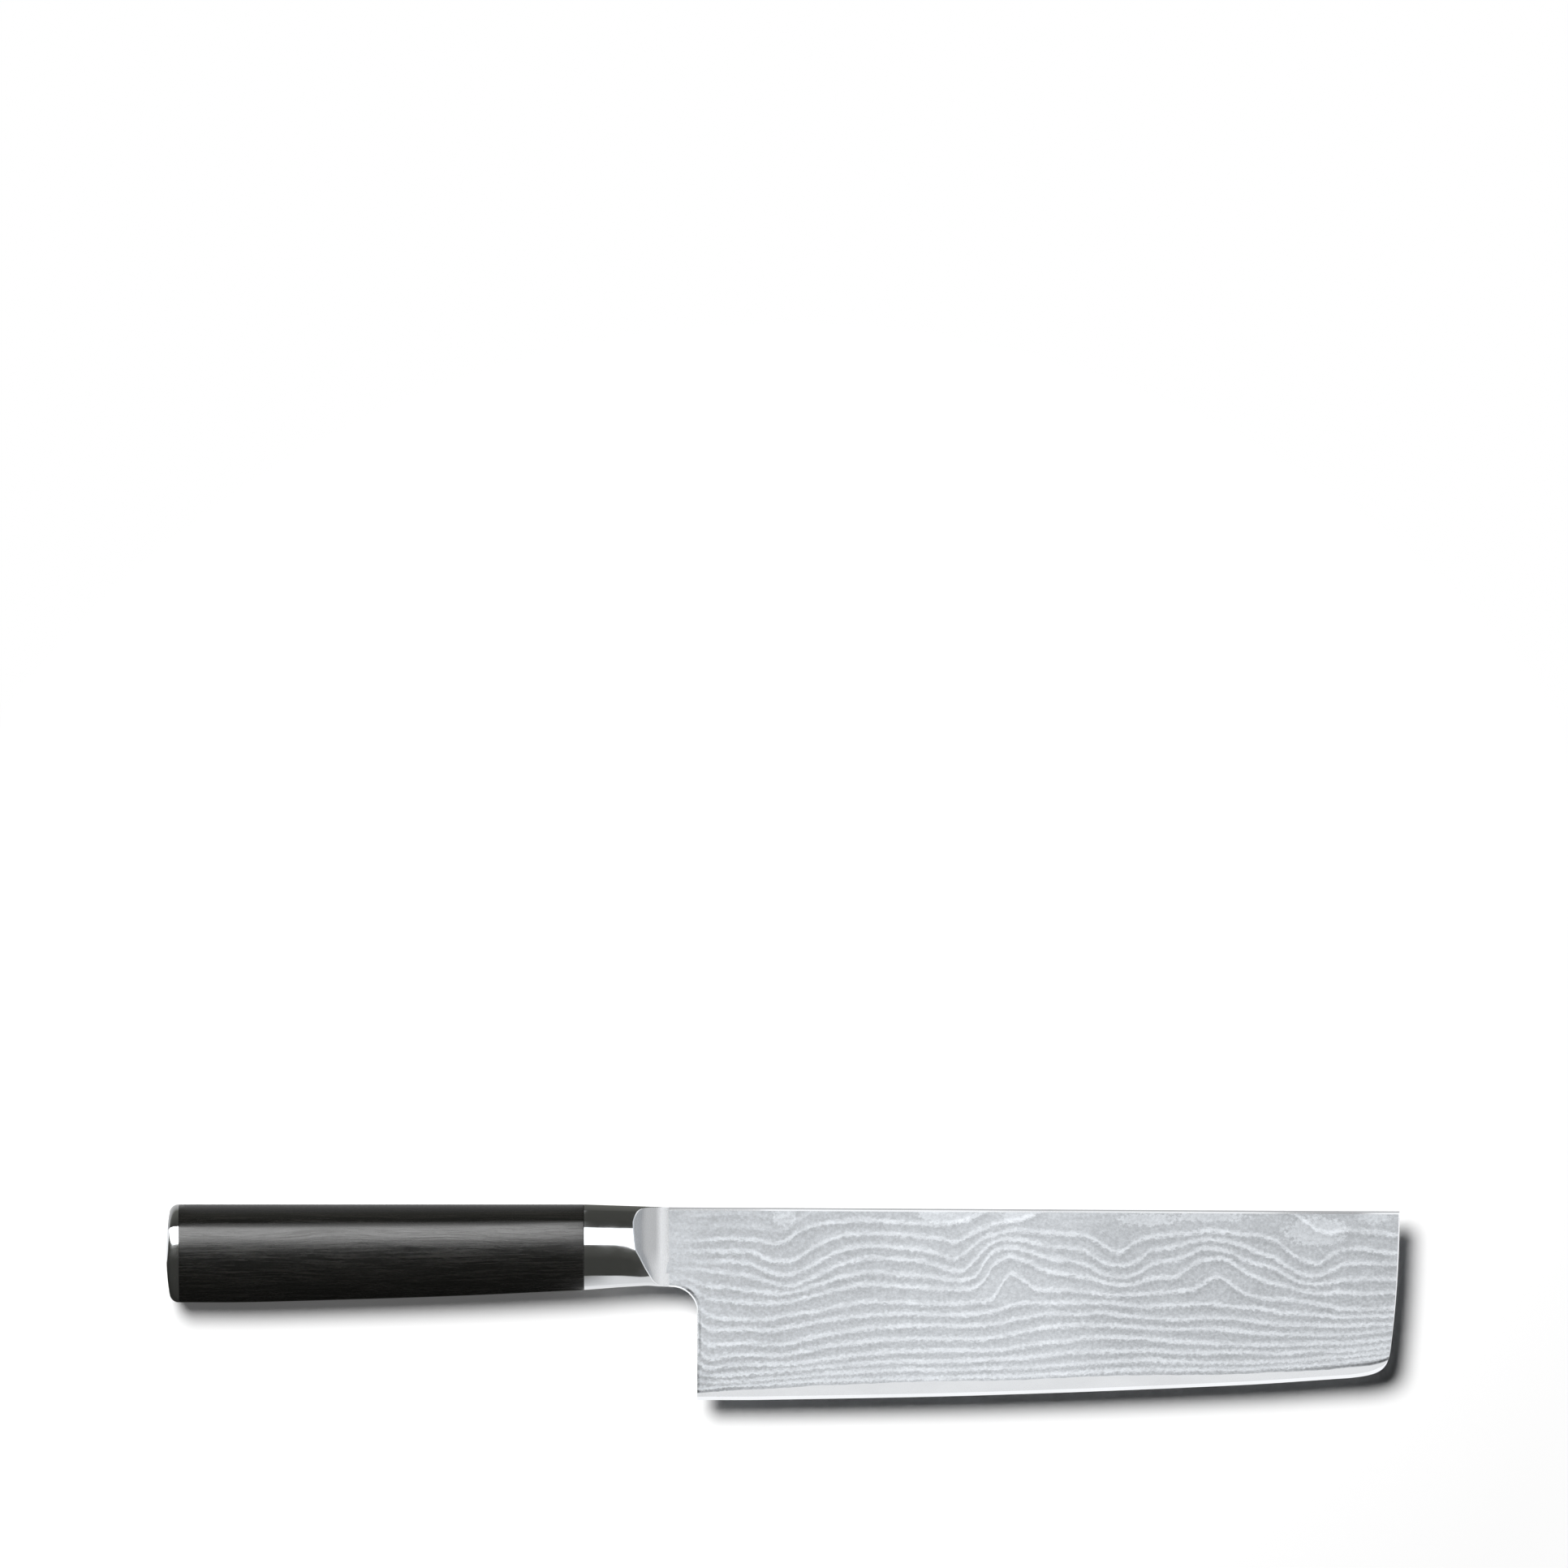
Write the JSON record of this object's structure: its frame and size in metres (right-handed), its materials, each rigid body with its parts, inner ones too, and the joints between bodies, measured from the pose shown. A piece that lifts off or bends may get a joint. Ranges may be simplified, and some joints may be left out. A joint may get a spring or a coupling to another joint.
{
  "type": "nakiri knife",
  "caption": "Nakiri vegetable knife: tall straight blade of layered steel, polished bolster, dark D-shaped wooden handle with a ridge, and a domed steel end cap.",
  "frame": {"origin": "middle of the bounding box seen from above, level with the lowest point of the handle, with the knife lying on its left side and the blade level", "axes": "+X along the knife towards the tip, +Y from the cutting edge towards the spine, +Z out of the blade's right face"},
  "size_m": [0.2896, 0.046, 0.0192],
  "materials": {
    "core_steel": "hard core steel, pale and finely ground",
    "cladding_steel": "layered steel, etched to a wavy pattern",
    "bolster_steel": "stainless steel, mirror polished with satin ramps",
    "cap_steel": "stainless steel, mirror polished",
    "handle_wood": "resin-soaked laminated hardwood, stained nearly black, polished",
    "inner_steel": "drawn bar, unpolished",
    "weld_steel": "weld bead, heat tinted",
    "fastener_steel": "turned stainless steel",
    "resin": "cured clear amber glue"
  },
  "bodies": {
    "root": {"core_steel": "core_steel", "cladding_right": "cladding_steel", "cladding_left": "cladding_steel", "bolster": "bolster_steel", "tang_bar": "inner_steel", "tang_weld": "weld_steel", "handle": "handle_wood", "bedding_resin": "resin", "washer": "fastener_steel", "nut": "fastener_steel", "end_cap": "cap_steel", "cap_pin": "fastener_steel"}
  },
  "joints": []
}
